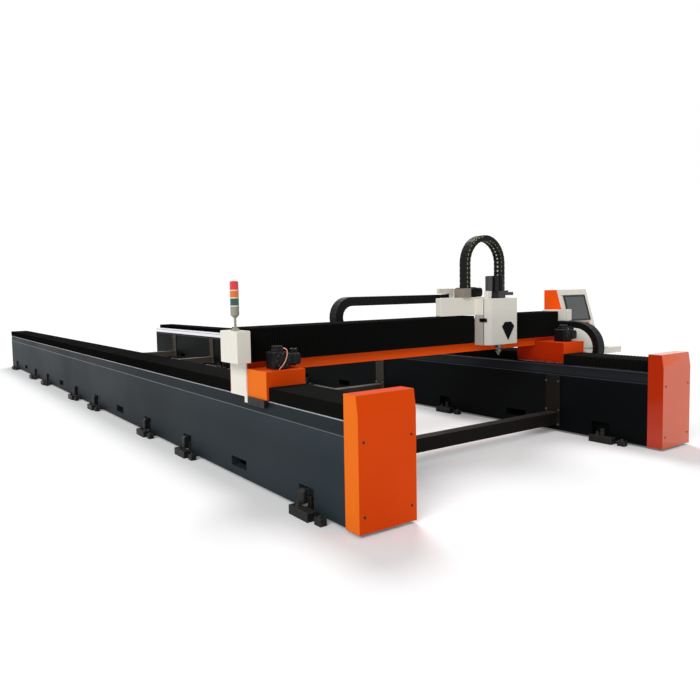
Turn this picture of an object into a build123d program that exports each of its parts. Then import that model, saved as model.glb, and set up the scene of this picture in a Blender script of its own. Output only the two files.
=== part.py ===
from build123d import *
import math
import os

# Fiber laser cutting machine with a travelling gantry on two long floor beds.
# The beds run along +Y. The gantry beam runs along +X from the left bed to the right bed.
# While modelling, X = 0 is the outer face of the left end cover and Y = 0 is its back face.
# At the end everything is moved so that the origin is the middle of the footprint on the floor.

os.makedirs("parts", exist_ok=True)

# Driving dimensions, beds
BED_LEN = 11200.0
SPAN = 3446.0
COVER_W = 414.0
COVER_H = 770.0
COVER_D = 124.0
COVER_CH_H = 110.0
COVER_CH_D = 16.0
FLOOR_GAP = 20.0
BED_X0 = 16.0
BED_X1 = 402.0
LEDGE_Z = 615.0
BEND_Z = 526.0
BEND_IN = 8.0
BED_BELLOWS_X0 = 17.0
BED_BELLOWS_X1 = 311.0
BED_BELLOWS_Z = 709.0
MODULE_LEN = 2800.0
FOOT_Y = (410.0, 2230.0)
POCKET_Y = 1290.0
POCKET_W = 230.0
POCKET_Z0 = 80.0
POCKET_Z1 = 150.0
NOTCH_W = 162.0
NOTCH_H = 138.0
NOTCH_D = 62.0
RAIL_X = (66.0, 262.0)
RAIL_H = 28.0

# Driving dimensions, gantry
TRUCK_Y0 = 834.0
TRUCK_Y1 = 1350.0
TRUCK_W = 305.0
TRUCK_TOP = 812.0
TRUCK_BOTTOM = 624.0
BEAM_Y0 = 1112.0
BEAM_Y1 = 1350.0
BEAM_Z0 = 780.0
BEAM_Z1 = 1068.0
BELLOWS_FRONT = 1100.0
STRIP_Z = 852.0
BEAM_BELLOWS_Z1 = 1090.0

# Driving dimensions, head
HEAD_X0 = 2252.0
HEAD_X1 = 2642.0
HEAD_Y0 = 950.0
HEAD_Z0 = 836.0
HEAD_Z1 = 1238.0
SADDLE_X0 = 1836.0
NOZZLE_X = 2470.0
NOZZLE_Y = 1020.0
NOZZLE_TIP_Z = 738.0

# Drag chains: link height, width, pitch, and middle radius of the bend
BEAM_CHAIN_T = 74.0
BEAM_CHAIN_W = 88.0
BEAM_CHAIN_P = 78.0
BEAM_CHAIN_R = 128.0
BED_CHAIN_T = 60.0
BED_CHAIN_W = 96.0
BED_CHAIN_P = 125.0
BED_CHAIN_R = 215.0
Z_CHAIN_T = 50.0
Z_CHAIN_W = 80.0
Z_CHAIN_P = 62.0
Z_CHAIN_R = 220.0

parts = {}


def box(x0, x1, y0, y1, z0, z1):
    """Solid block between two corners."""
    made = Box(x1 - x0, y1 - y0, z1 - z0)
    return Pos((x0 + x1) / 2, (y0 + y1) / 2, (z0 + z1) / 2) * made


def prism_y(points, y0, y1):
    """Profile given as (x, z) points, swept along Y."""
    face = Face(Wire.make_polygon([(x, y0, z) for x, z in points], close=True))
    return Solid.extrude(face, Vector(0, y1 - y0, 0))


def prism_x(points, x0, x1):
    """Profile given as (y, z) points, swept along X."""
    face = Face(Wire.make_polygon([(x0, y, z) for y, z in points], close=True))
    return Solid.extrude(face, Vector(x1 - x0, 0, 0))


def prism_z(points, z0, z1):
    """Profile given as (x, y) points, swept along Z."""
    face = Face(Wire.make_polygon([(x, y, z0) for x, y in points], close=True))
    return Solid.extrude(face, Vector(0, 0, z1 - z0))


def ring_points(sides, radius, turn=0.0):
    """Corners of a regular polygon round (0, 0)."""
    angles = [turn + 2 * math.pi * i / sides for i in range(sides)]
    return [(radius * math.cos(a), radius * math.sin(a)) for a in angles]


def hexagon(x, y, z0, z1, across):
    """Upright hexagonal head or stud."""
    corners = ring_points(6, across / math.sqrt(3))
    return prism_z([(x + a, y + b) for a, b in corners], z0, z1)


def mirrored(shape):
    """The same piece on the right bed."""
    return mirror(shape, about=Plane.YZ.offset(SPAN / 2))


def sewn(faces):
    """Closed solid from flat faces given as corner lists."""
    shell = Shell([Face(Wire.make_polygon(corners, close=True)) for corners in faces])
    return Solid(shell)


def turned(x, y, outline, sides=24):
    """Upright lathe-turned piece with many narrow flats, from (radius, z) pairs going up."""
    rings = []
    for radius, z in outline:
        rings.append([(x + a, y + b, z) for a, b in ring_points(sides, radius)])
    faces = [rings[0][::-1], rings[-1]]
    for below, above in zip(rings, rings[1:]):
        for i in range(sides):
            j = (i + 1) % sides
            faces.append([below[i], below[j], above[j], above[i]])
    return sewn(faces)


def rod(x, y, z0, z1, radius):
    """Upright round bar."""
    return turned(x, y, [(radius, z0), (radius, z1)])


def tube_along(points, radius, sides=6):
    """Thin round lead through the given points, all in one leaning plane."""
    rings = []
    last = len(points) - 1
    for i, point in enumerate(points):
        ahead = Vector(points[min(i + 1, last)]) - Vector(points[max(i - 1, 0)])
        plane = Plane(origin=point, x_dir=(1, 0, 0), z_dir=ahead)
        rings.append([tuple(plane.from_local_coords((a, b, 0))) for a, b in ring_points(sides, radius)])
    faces = [rings[0][::-1], rings[-1]]
    for below, above in zip(rings, rings[1:]):
        for i in range(sides):
            j = (i + 1) % sides
            faces.append([below[i], below[j], above[j]])
            faces.append([below[i], above[j], above[i]])
    return sewn(faces)


# Beds


def bed():
    """Long welded box beam, its upper band set in slightly, with foot notches and fork pockets."""
    outline = [
        (BED_X0, FLOOR_GAP),
        (BED_X1, FLOOR_GAP),
        (BED_X1, BEND_Z),
        (BED_X1 - BEND_IN, LEDGE_Z),
        (BED_X0 + BEND_IN, LEDGE_Z),
        (BED_X0, BEND_Z),
    ]
    made = prism_y(outline, 0, BED_LEN)
    cuts = [
        box(BED_X0 + 14, BED_X1 - 14, 14, BED_LEN - 14, 176, LEDGE_Z - 15),
        box(BED_X0 + 76, BED_X1 - 76, 14, BED_LEN - 14, FLOOR_GAP + 14, 176),
    ]
    for module in range(4):
        start = module * MODULE_LEN
        for foot in FOOT_Y:
            y0 = start + foot - NOTCH_W / 2
            y1 = start + foot + NOTCH_W / 2
            cuts.append(box(BED_X0 - 1, BED_X0 + NOTCH_D, y0, y1, FLOOR_GAP - 1, FLOOR_GAP + NOTCH_H))
            cuts.append(box(BED_X1 - NOTCH_D, BED_X1 + 1, y0, y1, FLOOR_GAP - 1, FLOOR_GAP + NOTCH_H))
        y0 = start + POCKET_Y - POCKET_W / 2
        y1 = start + POCKET_Y + POCKET_W / 2
        cuts.append(box(BED_X0 - 1, BED_X1 + 1, y0, y1, POCKET_Z0, POCKET_Z1))
    return made.cut(*cuts)


parts["bed_left"] = bed()
parts["bed_right"] = mirrored(parts["bed_left"])


def end_cover():
    """Folded sheet-steel cover over the near end of a bed, its upper front edge sloped back."""
    top_y = -COVER_D + COVER_CH_D
    outer = [
        (-1.0, FLOOR_GAP),
        (-1.0, COVER_H),
        (top_y, COVER_H),
        (-COVER_D, COVER_H - COVER_CH_H),
        (-COVER_D, FLOOR_GAP),
    ]
    made = prism_x(outer, 0, COVER_W)
    inner = [
        (0.0, FLOOR_GAP - 1),
        (0.0, COVER_H - 3),
        (top_y + 3, COVER_H - 3),
        (-COVER_D + 3, COVER_H - COVER_CH_H),
        (-COVER_D + 3, FLOOR_GAP - 1),
    ]
    return made - prism_x(inner, 3, COVER_W - 3)


parts["end_cover_left"] = end_cover()
parts["end_cover_right"] = mirrored(parts["end_cover_left"])

# Levelling feet

FEET = []
for module_index in range(4):
    for foot_y in FOOT_Y:
        for side in (0, 1):
            FEET.append((module_index * MODULE_LEN + foot_y, side))


def foot_wedges():
    """Levelling wedge under each notch, its thick end reaching out from the bed's side."""
    made = []
    for y, side in FEET:
        fork = box(-86, BED_X0 + NOTCH_D - 6, y - 160, y + 42, 0, 20)
        riser = box(-86, -26, y - 160, y + 42, 20, 56)
        piece = fork + riser
        if side:
            piece = mirror(piece, about=Plane.YZ.offset((BED_X0 + BED_X1) / 2))
        made.append(piece)
    return made


def foot_screws():
    """Hexagonal jacking screw standing on each wedge, up into the notch."""
    made = []
    for y, side in FEET:
        x = BED_X0 + 26
        if side:
            x = BED_X1 - 26
        made.append(hexagon(x, y - 6, 20, 96, 36))
    return made


def foot_anchors():
    """Small anchor block bolted to the floor beside each wedge."""
    made = []
    for y, side in FEET:
        piece = box(-66, -20, y - 262, y - 200, 0, 44)
        if side:
            piece = mirror(piece, about=Plane.YZ.offset((BED_X0 + BED_X1) / 2))
        made.append(piece)
    return made


def both_beds(solids):
    """One group of separate solids for the left and the right bed."""
    return Compound(children=list(solids) + [mirrored(s) for s in solids])


parts["levelling_wedges"] = both_beds(foot_wedges())
parts["levelling_screws"] = both_beds(foot_screws())
parts["floor_anchor_blocks"] = both_beds(foot_anchors())

# Ties between the beds

TIE_Y = (872.0, 3330.0, 5790.0, 8250.0, 10100.0)


def tie_bar(y):
    """Square tube with a tall flange plate at each end, bolted between the beds."""
    inner_left = BED_X1
    inner_right = SPAN - BED_X1
    tube = box(inner_left + 14, inner_right - 14, y - 52, y + 52, 76, 186)
    left = box(inner_left + 0.05, inner_left + 14, y - 72, y + 72, 60, 520)
    right = box(inner_right - 14, inner_right - 0.05, y - 72, y + 72, 60, 520)
    return tube + left + right


parts["tie_bars"] = Compound(children=[tie_bar(y) for y in TIE_Y])

# Ways on the beds

rails = [box(x - 14, x + 14, 30, BED_LEN - 30, LEDGE_Z, LEDGE_Z + RAIL_H) for x in RAIL_X]
parts["bed_rails"] = both_beds(rails)
parts["bed_racks"] = both_beds([box(186, 214, 30, BED_LEN - 30, LEDGE_Z, LEDGE_Z + 34)])
strip_left = box(BED_X0 + BEND_IN, BED_X0 + BEND_IN + 8, 0, BED_LEN, LEDGE_Z, LEDGE_Z + 3)
strip_right = box(BED_X1 - BEND_IN - 8, BED_X1 - BEND_IN, 0, BED_LEN, LEDGE_Z, LEDGE_Z + 3)
parts["edge_strips"] = both_beds([strip_left, strip_right])

# Pleated covers


def pleated(crest, valley, start, length, pitch, place):
    """Folded cover: the section swells to crest and shrinks to valley once a pitch along its run."""
    count = max(2, round(length / pitch))
    sections = []
    for i in range(2 * count + 1):
        sections.append((start + length * i / (2 * count), valley if i % 2 else crest))
    faces = []
    size = len(crest)
    for j in range(size):
        k = (j + 1) % size
        still = crest[j] == valley[j] and crest[k] == valley[k]
        ends = [crest[j], crest[k], valley[j], valley[k]]
        flat = len({p[0] for p in ends}) == 1 or len({p[1] for p in ends}) == 1
        if still:
            first = [place(sections[0][0], crest[j]), place(sections[0][0], crest[k])]
            last = [place(sections[-1][0], crest[k]), place(sections[-1][0], crest[j])]
            faces.append(first + last)
        elif flat:
            there = [place(s, shape[k]) for s, shape in sections]
            back = [place(s, shape[j]) for s, shape in reversed(sections)]
            if crest[k] == valley[k]:
                there = [there[0], there[-1]]
            if crest[j] == valley[j]:
                back = [back[0], back[-1]]
            faces.append(there + back)
        else:
            for (s0, a), (s1, b) in zip(sections, sections[1:]):
                faces.append([place(s0, a[j]), place(s0, a[k]), place(s1, b[k]), place(s1, b[j])])
    faces.append([place(sections[0][0], p) for p in sections[0][1]])
    faces.append([place(sections[-1][0], p) for p in reversed(sections[-1][1])])
    return sewn(faces)


def along_y(s, point):
    return (point[0], s, point[1])


def along_x(s, point):
    return (s, point[0], point[1])


bx0 = BED_BELLOWS_X0
bx1 = BED_BELLOWS_X1
bz0 = LEDGE_Z + 4
bz1 = BED_BELLOWS_Z
BED_CREST = [
    (bx0, bz0),
    (bx0, bz1),
    (bx1, bz1),
    (bx1, bz0),
    (bx1 - 16, bz0),
    (bx1 - 16, bz1 - 20),
    (bx0 + 16, bz1 - 20),
    (bx0 + 16, bz0),
]
BED_VALLEY = [
    (bx0 + 11, bz0),
    (bx0 + 11, bz1 - 11),
    (bx1 - 11, bz1 - 11),
    (bx1 - 11, bz0),
] + BED_CREST[4:]

near_run = pleated(BED_CREST, BED_VALLEY, 1, TRUCK_Y0 - 2, 60, along_y)
far_run = pleated(BED_CREST, BED_VALLEY, TRUCK_Y1 + 1, BED_LEN - TRUCK_Y1 - 2, 150, along_y)
parts["bed_bellows_left_near"] = near_run
parts["bed_bellows_left_far"] = far_run
parts["bed_bellows_right_near"] = mirrored(near_run)
parts["bed_bellows_right_far"] = mirrored(far_run)

BEAM_CREST = [
    (BELLOWS_FRONT, STRIP_Z),
    (BELLOWS_FRONT, BEAM_BELLOWS_Z1),
    (BEAM_Y1 - 20, BEAM_BELLOWS_Z1),
    (BEAM_Y1 - 20, BEAM_BELLOWS_Z1 - 18),
    (BELLOWS_FRONT + 16, BEAM_BELLOWS_Z1 - 18),
    (BELLOWS_FRONT + 16, STRIP_Z),
]
BEAM_VALLEY = [
    (BELLOWS_FRONT + 11, STRIP_Z),
    (BELLOWS_FRONT + 11, BEAM_BELLOWS_Z1 - 11),
    (BEAM_Y1 - 20, BEAM_BELLOWS_Z1 - 11),
] + BEAM_CREST[3:]
left_len = HEAD_X0 - 15
right_len = SPAN - 14 - HEAD_X1
parts["beam_bellows_left"] = pleated(BEAM_CREST, BEAM_VALLEY, 14, left_len, 48, along_x)
parts["beam_bellows_right"] = pleated(BEAM_CREST, BEAM_VALLEY, HEAD_X1 + 1, right_len, 48, along_x)

# Drag chains


def chain(path, total, pitch, thick, low, width, place):
    """Row of drag-chain links along a path, as one notched bar. path gives position and normal."""
    count = max(2, round(total / pitch))
    gap = 7.0
    sink = thick * 0.14
    upper = []
    lower = []
    for i in range(count):
        s0 = total * i / count
        s1 = total * (i + 1) / count
        for s, h in (
            (s0 + gap * 0.25, thick / 2 - sink),
            (s0 + gap, thick / 2),
            (s1 - gap, thick / 2),
            (s1 - gap * 0.25, thick / 2 - sink),
        ):
            (a, b), (na, nb) = path(s)
            upper.append((a + na * h, b + nb * h))
            lower.append((a - na * h, b - nb * h))
    outline = upper + lower[::-1]
    face = Face(Wire.make_polygon([place(low, p) for p in outline], close=True))
    sweep = Vector(place(low + width, (0, 0))) - Vector(place(low, (0, 0)))
    return Solid.extrude(face, sweep)


def straight(a0, b0, a1, b1):
    """Path along a line, its normal a quarter turn to the left."""
    run = math.hypot(a1 - a0, b1 - b0)
    da = (a1 - a0) / run
    db = (b1 - b0) / run
    return lambda s: ((a0 + da * s, b0 + db * s), (-db, da))


def bend(a, b, radius, first):
    """Path round a half circle, starting at the angle first and turning to the left."""
    return lambda s: (
        (a + radius * math.cos(first + s / radius), b + radius * math.sin(first + s / radius)),
        (-math.cos(first + s / radius), -math.sin(first + s / radius)),
    )


def in_xz(low, point):
    return (point[0], low, point[1])


def in_yz(low, point):
    return (low, point[0], point[1])


BEAM_CHAIN_Y = 1384.0
BEAM_CHAIN_Z = 1243.0
BEAM_BEND_X = 1130.0
BEAM_CHAIN_END = 2238.0
BEAM_CHAIN_FIX = 1720.0
low_z = BEAM_CHAIN_Z - 2 * BEAM_CHAIN_R
upper_run = straight(BEAM_BEND_X, BEAM_CHAIN_Z, BEAM_CHAIN_END, BEAM_CHAIN_Z)
lower_run = straight(BEAM_BEND_X, low_z, BEAM_CHAIN_FIX, low_z)
turn_run = bend(BEAM_BEND_X, BEAM_CHAIN_Z - BEAM_CHAIN_R, BEAM_CHAIN_R, math.pi / 2)
beam_link = (BEAM_CHAIN_P, BEAM_CHAIN_T, BEAM_CHAIN_Y, BEAM_CHAIN_W, in_xz)
parts["beam_chain_upper"] = chain(upper_run, BEAM_CHAIN_END - BEAM_BEND_X, *beam_link)
parts["beam_chain_lower"] = chain(lower_run, BEAM_CHAIN_FIX - BEAM_BEND_X, *beam_link)
parts["beam_chain_bend"] = chain(turn_run, math.pi * BEAM_CHAIN_R, *beam_link)

BED_CHAIN_X = SPAN + 26.0
BED_CHAIN_Z = 530.0
BED_BEND_Y = 945.0
BED_CHAIN_END = 1185.0
BED_CHAIN_FIX = 5300.0
high_z = BED_CHAIN_Z + 2 * BED_CHAIN_R
upper_run = straight(BED_BEND_Y, high_z, BED_CHAIN_END, high_z)
lower_run = straight(BED_BEND_Y, BED_CHAIN_Z, BED_CHAIN_FIX, BED_CHAIN_Z)
turn_run = bend(BED_BEND_Y, BED_CHAIN_Z + BED_CHAIN_R, BED_CHAIN_R, math.pi / 2)
bed_link = (BED_CHAIN_P, BED_CHAIN_T, BED_CHAIN_X, BED_CHAIN_W, in_yz)
short_link = (57.0,) + bed_link[1:]
parts["bed_chain_upper"] = chain(upper_run, BED_CHAIN_END - BED_BEND_Y, *short_link)
parts["bed_chain_lower"] = chain(lower_run, BED_CHAIN_FIX - BED_BEND_Y, *bed_link)
parts["bed_chain_bend"] = chain(turn_run, math.pi * BED_CHAIN_R, *short_link)

Z_CHAIN_X = 2380.0
Z_CHAIN_Y = 1080.0
Z_CHAIN_TOP = 1545.0
Z_LEFT_FOOT = 1330.0
Z_RIGHT_FOOT = 1305.0


def z_chain_path(s):
    """Up the left leg, over the top and down the right leg."""
    left = Z_CHAIN_TOP - Z_LEFT_FOOT
    arc = math.pi * Z_CHAIN_R
    if s <= left:
        return (Z_CHAIN_X - Z_CHAIN_R, Z_LEFT_FOOT + s), (-1.0, 0.0)
    if s <= left + arc:
        a = math.pi - (s - left) / Z_CHAIN_R
        spot = (Z_CHAIN_X + Z_CHAIN_R * math.cos(a), Z_CHAIN_TOP + Z_CHAIN_R * math.sin(a))
        return spot, (math.cos(a), math.sin(a))
    return (Z_CHAIN_X + Z_CHAIN_R, Z_CHAIN_TOP - (s - left - arc)), (1.0, 0.0)


z_total = (Z_CHAIN_TOP - Z_LEFT_FOOT) + (Z_CHAIN_TOP - Z_RIGHT_FOOT) + math.pi * Z_CHAIN_R
parts["z_chain"] = chain(z_chain_path, z_total, Z_CHAIN_P, Z_CHAIN_T, Z_CHAIN_Y, Z_CHAIN_W, in_xz)

# Trough for the bed chain, folded from sheet, standing on angle brackets on the right bed

tx0 = SPAN + 18
tx1 = SPAN + 130
channel = box(tx0, tx1, 330, 5420, 488, 562) - box(tx0 + 3, tx1 - 3, 329, 5417, 492, 563)


def trough_bracket(y):
    """Angle bracket with its pad on the bed's side and its arm under the trough."""
    reach = box(SPAN - BED_X0, tx1 - 20, y - 30, y + 30, 478, 488)
    pad = box(SPAN - BED_X0, SPAN - BED_X0 + 8, y - 30, y + 30, 380, 478)
    return reach + pad


trough_brackets = [trough_bracket(y) for y in (400, 2300, 4200, 5300)]
parts["bed_chain_trough"] = Compound(children=[channel] + trough_brackets)

# Gantry beam and end trucks

beam = box(0, SPAN, BEAM_Y0 + 38, BEAM_Y1, BEAM_Z0 - 6, BEAM_Z1 - 12)
parts["cross_beam"] = beam - box(14, SPAN - 14, BEAM_Y0 + 50, BEAM_Y1 - 12, BEAM_Z0 + 6, BEAM_Z1 - 24)

DRIVE_X = 156.0
DRIVE_Y = 950.0


def truck():
    """Welded end truck straddling the bed's ways, open below, with a base plate for the blocks."""
    step_y = BEAM_Y0 + 38
    step_z = BEAM_Z0 - 6
    outline = [
        (TRUCK_Y0, TRUCK_BOTTOM),
        (TRUCK_Y0, TRUCK_TOP),
        (step_y, TRUCK_TOP),
        (step_y, step_z),
        (TRUCK_Y1, step_z),
        (TRUCK_Y1, TRUCK_BOTTOM),
    ]
    made = prism_x(outline, 0, TRUCK_W)
    upper = [
        (TRUCK_Y0 + 10, 675),
        (TRUCK_Y0 + 10, TRUCK_TOP - 10),
        (step_y - 10, TRUCK_TOP - 10),
        (step_y - 10, step_z - 10),
        (TRUCK_Y1 - 10, step_z - 10),
        (TRUCK_Y1 - 10, 675),
    ]
    made = made - prism_x(upper, 10, TRUCK_W - 10)
    made = made - box(10, TRUCK_W - 10, TRUCK_Y0 + 10, TRUCK_Y1 - 10, TRUCK_BOTTOM - 1, 661)
    made = made - box(40, TRUCK_W - 15, TRUCK_Y0 - 1, TRUCK_Y1 + 1, TRUCK_BOTTOM - 1, 656)
    return made - rod(DRIVE_X, DRIVE_Y, 650, TRUCK_TOP + 1, 24)


parts["truck_left"] = truck()
parts["truck_right"] = mirrored(parts["truck_left"])


def carriage_blocks():
    """Linear-guide blocks that hug the bed's two rails under one truck."""
    made = []
    for x in RAIL_X:
        for y in (TRUCK_Y0 + 80, TRUCK_Y1 - 80):
            body = box(x - 32, x + 32, y - 50, y + 50, LEDGE_Z + 6, 661)
            made.append(body - box(x - 14.4, x + 14.4, y - 51, y + 51, LEDGE_Z, LEDGE_Z + RAIL_H + 0.4))
    return made


parts["truck_carriage_blocks"] = both_beds(carriage_blocks())
parts["guide_shoes"] = both_beds([box(-14, 12, TRUCK_Y0 + 12, TRUCK_Y0 + 236, 573, TRUCK_BOTTOM)])


def drive_unit():
    """Right-angle reducer standing on the truck with its servo motor lying along the beam."""
    case = box(DRIVE_X - 62, DRIVE_X + 62, DRIVE_Y - 62, DRIVE_Y + 62, TRUCK_TOP, 926)
    cap = rod(DRIVE_X - 4, DRIVE_Y - 6, 926, 968, 44)
    flange = Pos(DRIVE_X, DRIVE_Y - 68, 872) * Rot(90, 0, 0) * Cylinder(56, 12)
    motor = box(DRIVE_X + 62, DRIVE_X + 168, DRIVE_Y - 44, DRIVE_Y + 44, 826, 914)
    plug = box(DRIVE_X + 110, DRIVE_X + 150, DRIVE_Y - 20, DRIVE_Y + 20, 914, 946)
    return case + cap + flange + motor + plug


right_drive = Pos(SPAN - 2 * DRIVE_X, 0, 0) * drive_unit()
parts["drive_units"] = Compound(children=[drive_unit(), right_drive])


def pinion():
    """Drive pinion on its shaft, beside the rack."""
    gear = turned(DRIVE_X, DRIVE_Y, [(29, 621), (29, 648)])
    shaft_len = TRUCK_TOP - 0.5 - 648
    return gear + Pos(DRIVE_X, DRIVE_Y, 648 + shaft_len / 2) * Cylinder(18, shaft_len)


parts["pinion_left"] = pinion()
parts["pinion_right"] = mirrored(parts["pinion_left"])

# Motor lead of the left drive

LEAD = [
    (DRIVE_X + 24, DRIVE_Y - 42, 953),
    (DRIVE_X + 32, DRIVE_Y - 60, 950),
    (DRIVE_X + 36, DRIVE_Y - 72, 938),
    (DRIVE_X + 34, DRIVE_Y - 78, 915),
    (DRIVE_X + 24, DRIVE_Y - 81, 885),
    (DRIVE_X + 8, DRIVE_Y - 82, 858),
    (DRIVE_X - 12, DRIVE_Y - 82, 835),
    (DRIVE_X - 34, DRIVE_Y - 80, TRUCK_TOP + 3.5),
]
parts["motor_lead"] = tube_along(LEAD, 3.4)

# Junction box, its bracket and the signal tower

bracket = box(-12, 0, 1092, 1322, 640, 855) - box(-9, 1, 1095, 1319, 639, 852)
parts["box_bracket"] = bracket + box(-12, -4, 1082, 1120, 580, 655)
parts["junction_box"] = box(-104, 0, 1030, 1280, 855, 1072)
TOWER = (-56.0, 1140.0)
TOWER_STEM = [(34, 1072), (34, 1076), (10, 1096), (9, 1100), (9, 1160), (17, 1166), (30, 1180), (30, 1241)]
parts["tower_base"] = turned(TOWER[0], TOWER[1], TOWER_STEM)
parts["lamp_green"] = rod(TOWER[0], TOWER[1], 1241, 1295.5, 30)
parts["lamp_amber"] = rod(TOWER[0], TOWER[1], 1295.5, 1347, 30)
parts["lamp_red"] = rod(TOWER[0], TOWER[1], 1347, 1403, 30)

# Beam ways and chain tray

ways = [box(20, SPAN - 20, 1122, 1150, z - 14, z + 14) for z in (892, 1034)]
parts["beam_rails"] = Compound(children=ways)
tray = [
    (BEAM_Y1, 940),
    (1484, 940),
    (1484, 1020),
    (1480, 1020),
    (1480, 945),
    (BEAM_Y1 + 4, 945),
    (BEAM_Y1 + 4, 970),
    (BEAM_Y1, 970),
]
parts["beam_chain_tray"] = prism_x(tray, 60, SPAN - 60)
arm = box(SPAN, SPAN + 12, BED_CHAIN_END, 1330, 880, 985)
parts["bed_chain_arm"] = arm + box(SPAN + 12, SPAN + 122, BED_CHAIN_END, BED_CHAIN_END + 40, 926, 990)

# Operator console on the right end of the beam

CON_X0 = 3600.0
CON_X1 = 4086.0
CON_TOP = 1298.0
CON_LOW = 650.0
LEAN = 0.29


def front_y(z):
    """Where the sloping front of the console stands at height z."""
    return 1236 - (CON_TOP - z) * LEAN


slope = math.atan(LEAN)
normal = Vector(0, -math.cos(slope), math.sin(slope))
cabinet_outline = [(front_y(CON_TOP), CON_TOP), (1376, CON_TOP), (1376, CON_LOW), (front_y(CON_LOW), CON_LOW)]
cabinet = prism_x(cabinet_outline, CON_X0, CON_X1)
window = [
    (front_y(1244) - 5, 1244),
    (front_y(1244) + 12, 1244),
    (front_y(900) + 12, 900),
    (front_y(900) - 5, 900),
]
parts["console_cabinet"] = cabinet - prism_x(window, CON_X0 + 42, CON_X1 - 42)
parts["console_side_panel"] = prism_x(cabinet_outline, CON_X0 - 8, CON_X0)


def on_front(x, z):
    """Plane lying on the recessed console face, looking out of it."""
    return Plane(origin=(x, front_y(z) + 12, z), x_dir=(1, 0, 0), z_dir=normal)


screen_plane = on_front(3868, 1108)
parts["console_screen"] = screen_plane * Pos(0, 0, 4) * Box(328, 244, 8)
bezel = on_front(3843, 946)
bores = [bezel * turned(x, 0, [(12.8, -12), (12.8, 1)]) for x in (30, 120)]
parts["console_cabinet"] = parts["console_cabinet"].cut(*bores)
parts["e_stop"] = bezel * turned(120, 0, [(12, 0.4), (12, 14), (20, 16), (20, 24), (14, 29)])
parts["start_button"] = bezel * turned(30, 0, [(12, 0.4), (12, 11)])
shelf = box(CON_X0, 4190, 900, front_y(714), 656, 714)
parts["keyboard_shelf"] = shelf - cabinet
parts["console_arm"] = box(SPAN, CON_X0 - 8, 1120, 1300, 992, 1102)

# Head carriage


def head_outline(inset):
    """Plan of the front housing, its left front edge cut off at a slant."""
    x0 = HEAD_X0 + inset
    x1 = HEAD_X1 - inset
    y0 = HEAD_Y0 + inset
    y1 = 1095 - inset
    slant = 46 - inset * 0.4
    return [(x0, y1), (x0, y0 + slant), (x0 + slant, y0), (x1 - 12, y0), (x1, y0 + 12), (x1, y1)]


housing = prism_z(head_outline(0), HEAD_Z0, HEAD_Z1) - prism_z(head_outline(4), HEAD_Z0 + 4, HEAD_Z1 - 4)
mouth = box(2418, 2522, 968, 1072, HEAD_Z0 - 1, HEAD_Z0 + 5)
throat = box(2376, 2638, 976, 1085, HEAD_Z1 - 5, HEAD_Z1 + 1)
notch = box(2560, 2638, 1084, 1096, 1165, HEAD_Z1 + 1)
parts["head_housing"] = housing - mouth - throat - notch
gem = [(2469, 1030), (2548, 1030), (2589, 990), (2510, 871), (2432, 990)]
parts["sight_window"] = prism_y(gem, HEAD_Y0 - 4, HEAD_Y0)
saddle = box(SADDLE_X0, HEAD_X1, 1095, 1150, 1098, 1250) + box(2105, HEAD_X1, 1150, 1376, 1098, 1250)
parts["saddle_cover"] = saddle - box(2560, HEAD_X1 + 1, 1094, 1172, 1165, 1251)


def head_blocks():
    """Linear-guide blocks behind the housing, hugging the beam's two rails."""
    made = []
    for z in (892, 1034):
        for x in (2330, 2560):
            body = box(x - 40, x + 40, 1095, 1145, z - 30, z + 30)
            made.append(body - box(x - 41, x + 41, 1121.6, 1146, z - 14.4, z + 14.4))
    return Compound(children=made)


parts["head_carriage_blocks"] = head_blocks()
parts["x_servo"] = box(2246, 2420, 1240, 1330, 1250, 1338) + box(2420, 2530, 1232, 1338, 1250, 1330)
chain_clamp = box(2105, 2284, 1376, 1482, 1203, 1332)
parts["beam_chain_bracket"] = chain_clamp - box(2104, BEAM_CHAIN_END + 1, 1381, 1483, 1205.5, 1291)
parts["terminal_box"] = box(2106, 2236, 1078, 1186, 1250, Z_LEFT_FOOT)

# Laser head on its vertical slide

torch = box(NOZZLE_X - 44, NOZZLE_X + 44, NOZZLE_Y - 40, NOZZLE_Y + 40, 884, 1300)
foot_arm = box(NOZZLE_X + 44, 2632, NOZZLE_Y - 30, 1084, 1262, 1290)
foot_plate = box(2566, 2632, 1044, 1165, 1290, Z_RIGHT_FOOT)
parts["laser_head"] = torch + foot_arm + foot_plate
NOZZLE = [(9, NOZZLE_TIP_Z), (13, 752), (24, 768), (24, 790), (32, 800), (32, 884)]
parts["nozzle"] = turned(NOZZLE_X, NOZZLE_Y, NOZZLE)
collimator = box(2394, 2440, 990, 1060, 1300, 1434)
fibre = rod(2494, NOZZLE_Y, 1300, 1442, 24)
parts["fibre_connector"] = Compound(children=[collimator, fibre])

# Origin at the middle of the footprint, on the floor

boxes = [shape.bounding_box() for shape in parts.values()]
low = [min(b.min.X for b in boxes), min(b.min.Y for b in boxes), min(b.min.Z for b in boxes)]
high = [max(b.max.X for b in boxes), max(b.max.Y for b in boxes), max(b.max.Z for b in boxes)]
shift = Pos(-(low[0] + high[0]) / 2, -(low[1] + high[1]) / 2, -low[2])
print("low", low, "high", high)

for name, shape in parts.items():
    export_step(shift * shape, f"parts/{name}.step")
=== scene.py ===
"""Looks of a gantry laser cutting machine on two long floor beds."""
import math
import bpy
import numpy as np
from mathutils import Matrix


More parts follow.
